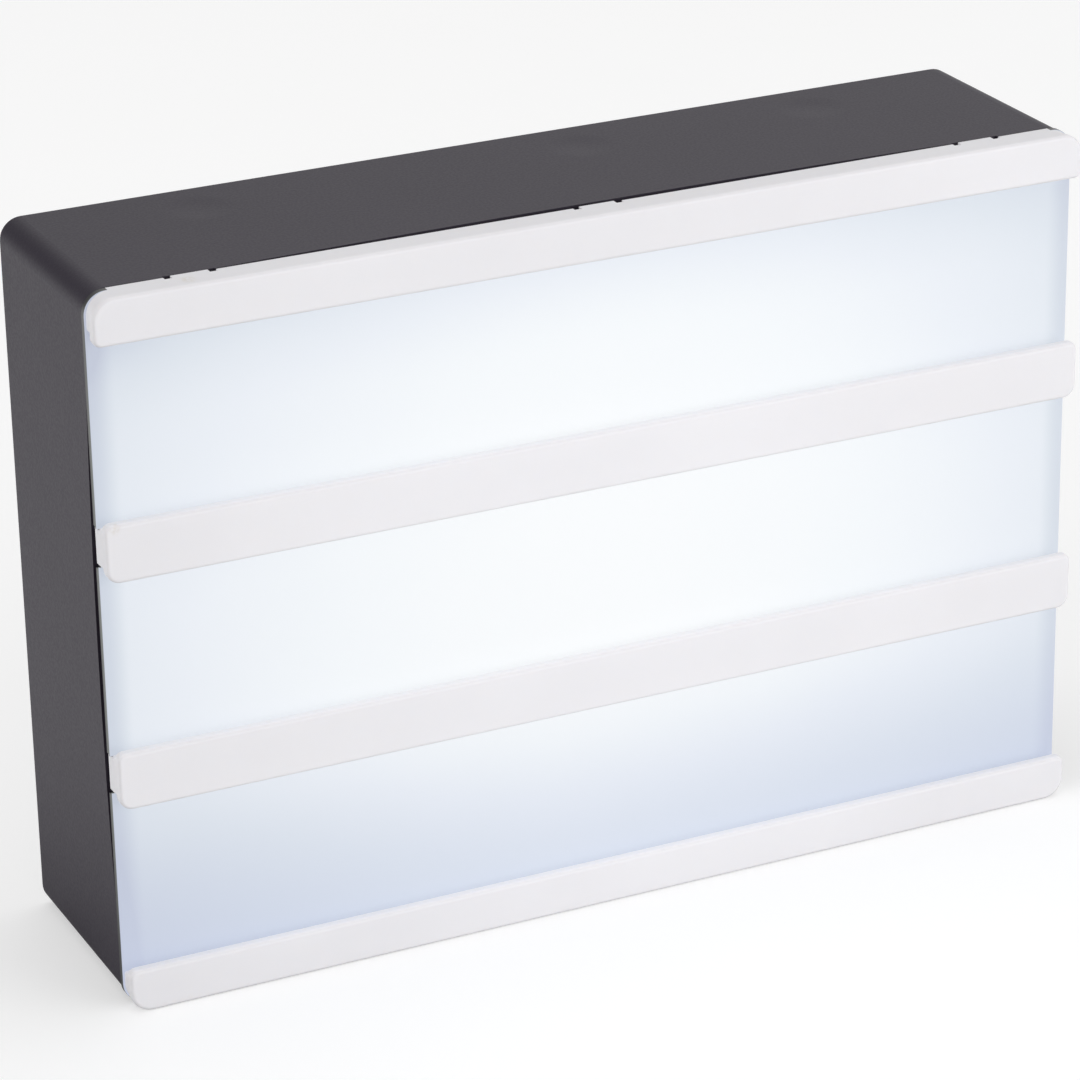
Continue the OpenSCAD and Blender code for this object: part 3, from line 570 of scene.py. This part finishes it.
springs()
lead("red_lead", "positive_wire", "wire_red", [
    (-TAG_X, CELL_Y, CELL_Z[0]), (-TAG_X - 2, CELL_Y, CELL_Z[0]), (-38, 10, 49), (-37, 14, 57),
    (-32, 15.2, 61), (-16, 15.2, 62), (8, 15.2, 62), (30, 15.2, 61), (38, 13, 55), (44, 9, 45),
    (48, 5, 37), (49, 3.6, 32.5),
    (SWITCH_X - PIN_PITCH, PIN_Y - 1.5, SWITCH_Z), (SWITCH_X - PIN_PITCH, PIN_Y, SWITCH_Z)])
lead("white_lead", "switch_wire", "wire_white", [
    (SWITCH_X, PIN_Y, SWITCH_Z), (SWITCH_X, PIN_Y - 1.5, SWITCH_Z), (53, 3.6, 33), (56, 5, 43),
    (57.5, 11, 53), (57, 14.8, 61), (57, 15.2, 68), (57.4, 14.4, 71), (57.4, 12, 72), (57, 9.4, 72.2),
    (54.5, 8.6, 73.8), (PAD_X, 9.2, PAD_Z[0]), (PAD_X, BOARD_FRONT_Y, PAD_Z[0])])
lead("black_lead", "negative_wire", "wire_black", [
    (TAG_X, CELL_Y, CELL_Z[2]), (TAG_X + 2, CELL_Y, CELL_Z[2]), (40, 6.5, 17), (50, 5, 19),
    (60, 6, 26), (64, 9, 40), (64, 13.5, 54), (62, 15.2, 62), (59.6, 15.2, 67),
    (58.6, 14.4, 69.4), (58.6, 12, 70), (58, 9.4, 69.8), (55, 8.6, 68.2),
    (PAD_X, 9.2, PAD_Z[1]), (PAD_X, BOARD_FRONT_Y, PAD_Z[1])])


# ---------------------------------------------------------------- camera

LENS = 150.04                                           # mm, on a sensor 36 mm wide
CAMERA_PLACE = Vector((-0.256951, -0.542603, 0.303183))
CAMERA_TARGET = Vector((-0.009502, -0.0144, 0.057080))
CAMERA_ROLL = -0.0177029


def aim(place, target, roll=0.0):
    """World matrix of a camera or lamp that looks at target, turned by roll about its axis."""
    ahead = (target - place).normalized()
    right = ahead.cross(Vector((0, 0, 1))).normalized()
    up = right.cross(ahead)
    x = math.cos(roll) * right + math.sin(roll) * up
    y = math.cos(roll) * up - math.sin(roll) * right
    matrix = Matrix((x, y, -ahead)).transposed().to_4x4()
    matrix.translation = place
    return matrix


def make_camera(scene):
    data = bpy.data.cameras.new("camera")
    data.lens = LENS
    data.sensor_width = 36
    data.clip_start = 0.01
    data.clip_end = 50
    camera = bpy.data.objects.new("camera", data)
    scene.collection.objects.link(camera)
    camera.matrix_world = aim(CAMERA_PLACE, CAMERA_TARGET, CAMERA_ROLL)
    scene.camera = camera


scene = bpy.context.scene
make_camera(scene)
scene.view_settings.view_transform = "Standard"


# ---------------------------------------------------------------- floor and light

FLOOR_R = 6.0
FLOOR_GLOW = 0.42               # added where the camera sees the floor
FLOOR_PAINTED_REFLECTION = 0.43           # painted reflection: glow that only mirrored rays see on the floor beyond the object's foot
FOOT_SHADE_REACH = (72.0, 125.0)      # mm from the middle, over which the painted reflection brightens; nearer the foot it leaves painted shade
WORLD_LIGHT = 0.50              # on the object; what is left up to 1 is added where it is seen
WORLD_MIRRORED = {"From Min": -0.3, "From Max": 0.35, "To Min": -0.25, "To Max": 0.36}
LAMP_TARGET = Vector((0, 0, 0.05))


def seen_by(tree, camera, mirror):
    """Strength of a glow that only the camera's rays and mirrored or passed rays see."""
    rays = tree.nodes.new("ShaderNodeLightPath").outputs

    def combine(operation, a, b):
        return add_node(tree, "ShaderNodeMath", a, b, operation=operation).outputs[0]

    other = combine("MAXIMUM", rays["Is Glossy Ray"], rays["Is Transmission Ray"])
    return combine("ADD", combine("MULTIPLY", rays["Is Camera Ray"], camera),
                   combine("MULTIPLY", other, mirror))


def make_floor():
    """Round white floor, faded into the white beyond it; it keeps the object's soft shadow."""
    bm = bmesh.new()
    bmesh.ops.create_circle(bm, cap_ends=True, segments=96, radius=FLOOR_R)
    mesh = bpy.data.meshes.new("floor")
    bm.to_mesh(mesh)
    bm.free()
    floor = bpy.data.objects.new("floor", mesh)
    scene.collection.objects.link(floor)
    p = Paint("floor_white", Roughness=0.9, Specular_IOR_Level=0.0, Emission_Color=(1, 1, 1, 1))
    p.set("Base Color", p.mix(p.noise(60), (0.64, 0.64, 0.64, 1), (0.65, 0.65, 0.65, 1)))
    # Painted reflection: the floor's glow seen only by mirrored rays, dimmer near the object's foot as
    # painted shade
    mirrored = p.span(p.vector("LENGTH", p.place), *FOOT_SHADE_REACH, 0.0, FLOOR_PAINTED_REFLECTION)
    p.set("Emission Strength", seen_by(p.tree, FLOOR_GLOW, mirrored))
    mesh.materials.append(p.material)


def make_world():
    """Even white light: white where it is seen, and mirrored it is dimmer at the left."""
    world = bpy.data.worlds.new("studio")
    scene.world = world
    world.use_nodes = True
    tree = world.node_tree
    ahead = add_node(tree, "ShaderNodeTexCoord").outputs["Generated"]
    across = add_node(tree, "ShaderNodeSeparateXYZ", ahead).outputs["X"]
    mirrored = add_node(tree, "ShaderNodeMapRange", across)
    for socket, value in WORLD_MIRRORED.items():
        mirrored.inputs[socket].default_value = value
    seen = seen_by(tree, 1 - WORLD_LIGHT, mirrored.outputs["Result"])
    strength = add_node(tree, "ShaderNodeMath", seen, WORLD_LIGHT, operation="ADD").outputs[0]
    background = tree.nodes["Background"]
    background.inputs["Color"].default_value = (1, 1, 1, 1)
    put(tree, background.inputs["Strength"], strength)


def soft_lamp(name, place, width, height, watts):
    """Large soft box that points at the middle of the object."""
    data = bpy.data.lights.new(name, "AREA")
    data.shape = "RECTANGLE"
    data.size = width
    data.size_y = height
    data.energy = watts
    lamp = bpy.data.objects.new(name, data)
    scene.collection.objects.link(lamp)
    lamp.matrix_world = aim(Vector(place), LAMP_TARGET)


make_floor()
make_world()
soft_lamp("key", (0.62, -0.78, 0.16), 0.8, 0.6, 6.6)
soft_lamp("over", (0.3, 0.4, 1.9), 1.6, 1.2, 7.0)
soft_lamp("left", (-1.7, -0.5, 0.7), 1.4, 1.1, 12)
